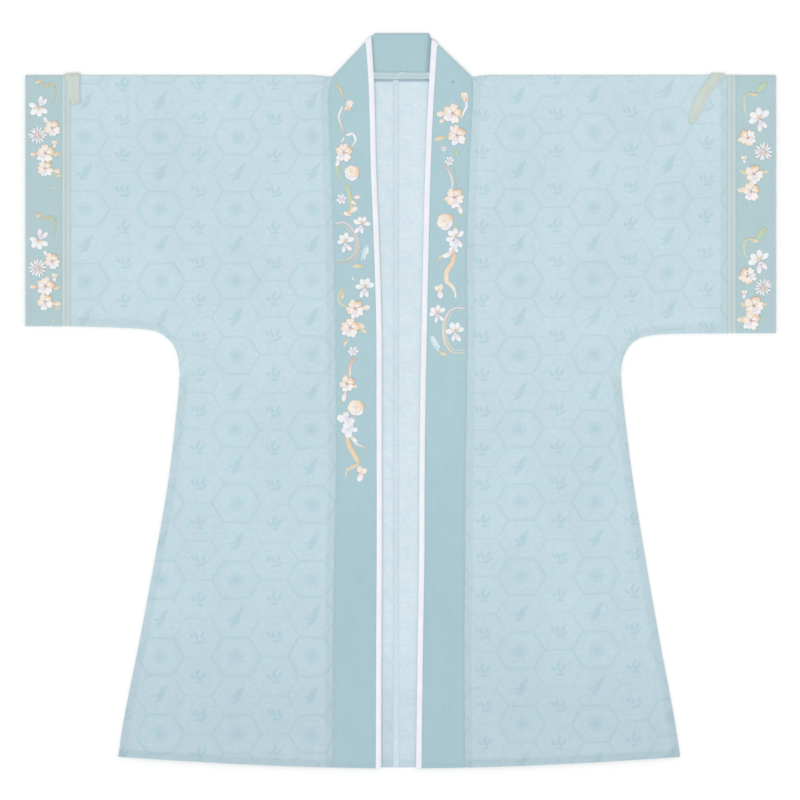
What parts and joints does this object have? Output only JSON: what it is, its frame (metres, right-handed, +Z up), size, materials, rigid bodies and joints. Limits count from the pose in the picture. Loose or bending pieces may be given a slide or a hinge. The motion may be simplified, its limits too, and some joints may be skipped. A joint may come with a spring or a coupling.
{
  "type": "hanfu robe",
  "caption": "Open-front sheer jacquard hanfu robe with wide short sleeves, straight collar band, white piping and embroidered cuffs, laid flat.",
  "frame": {"origin": "on the surface it lies on, under the middle of its box", "axes": "+X across the robe towards the right of the picture, +Y from hem to neck, +Z up out of the surface, fronts up"},
  "size_m": [0.975, 0.9563, 0.0049],
  "materials": {
    "sheer_jacquard": "sheer woven with a tone-on-tone figure",
    "collar_cloth": "smooth plain weave",
    "cuff_cloth": "smooth plain weave",
    "piping_cloth": "soft satin",
    "woven_tape": "ribbed woven tape",
    "embroidery_thread": "glossy satin stitch"
  },
  "bodies": {
    "root": {"body_left": "sheer_jacquard", "body_right": "sheer_jacquard", "cuff_left": "cuff_cloth", "cuff_right": "cuff_cloth", "cuff_trim_left": "woven_tape", "cuff_trim_right": "woven_tape", "collar": "collar_cloth", "piping_left": "piping_cloth", "piping_right": "piping_cloth", "neck_tape": "woven_tape", "tie_left": "woven_tape", "tie_right": "woven_tape"}
  },
  "joints": []
}
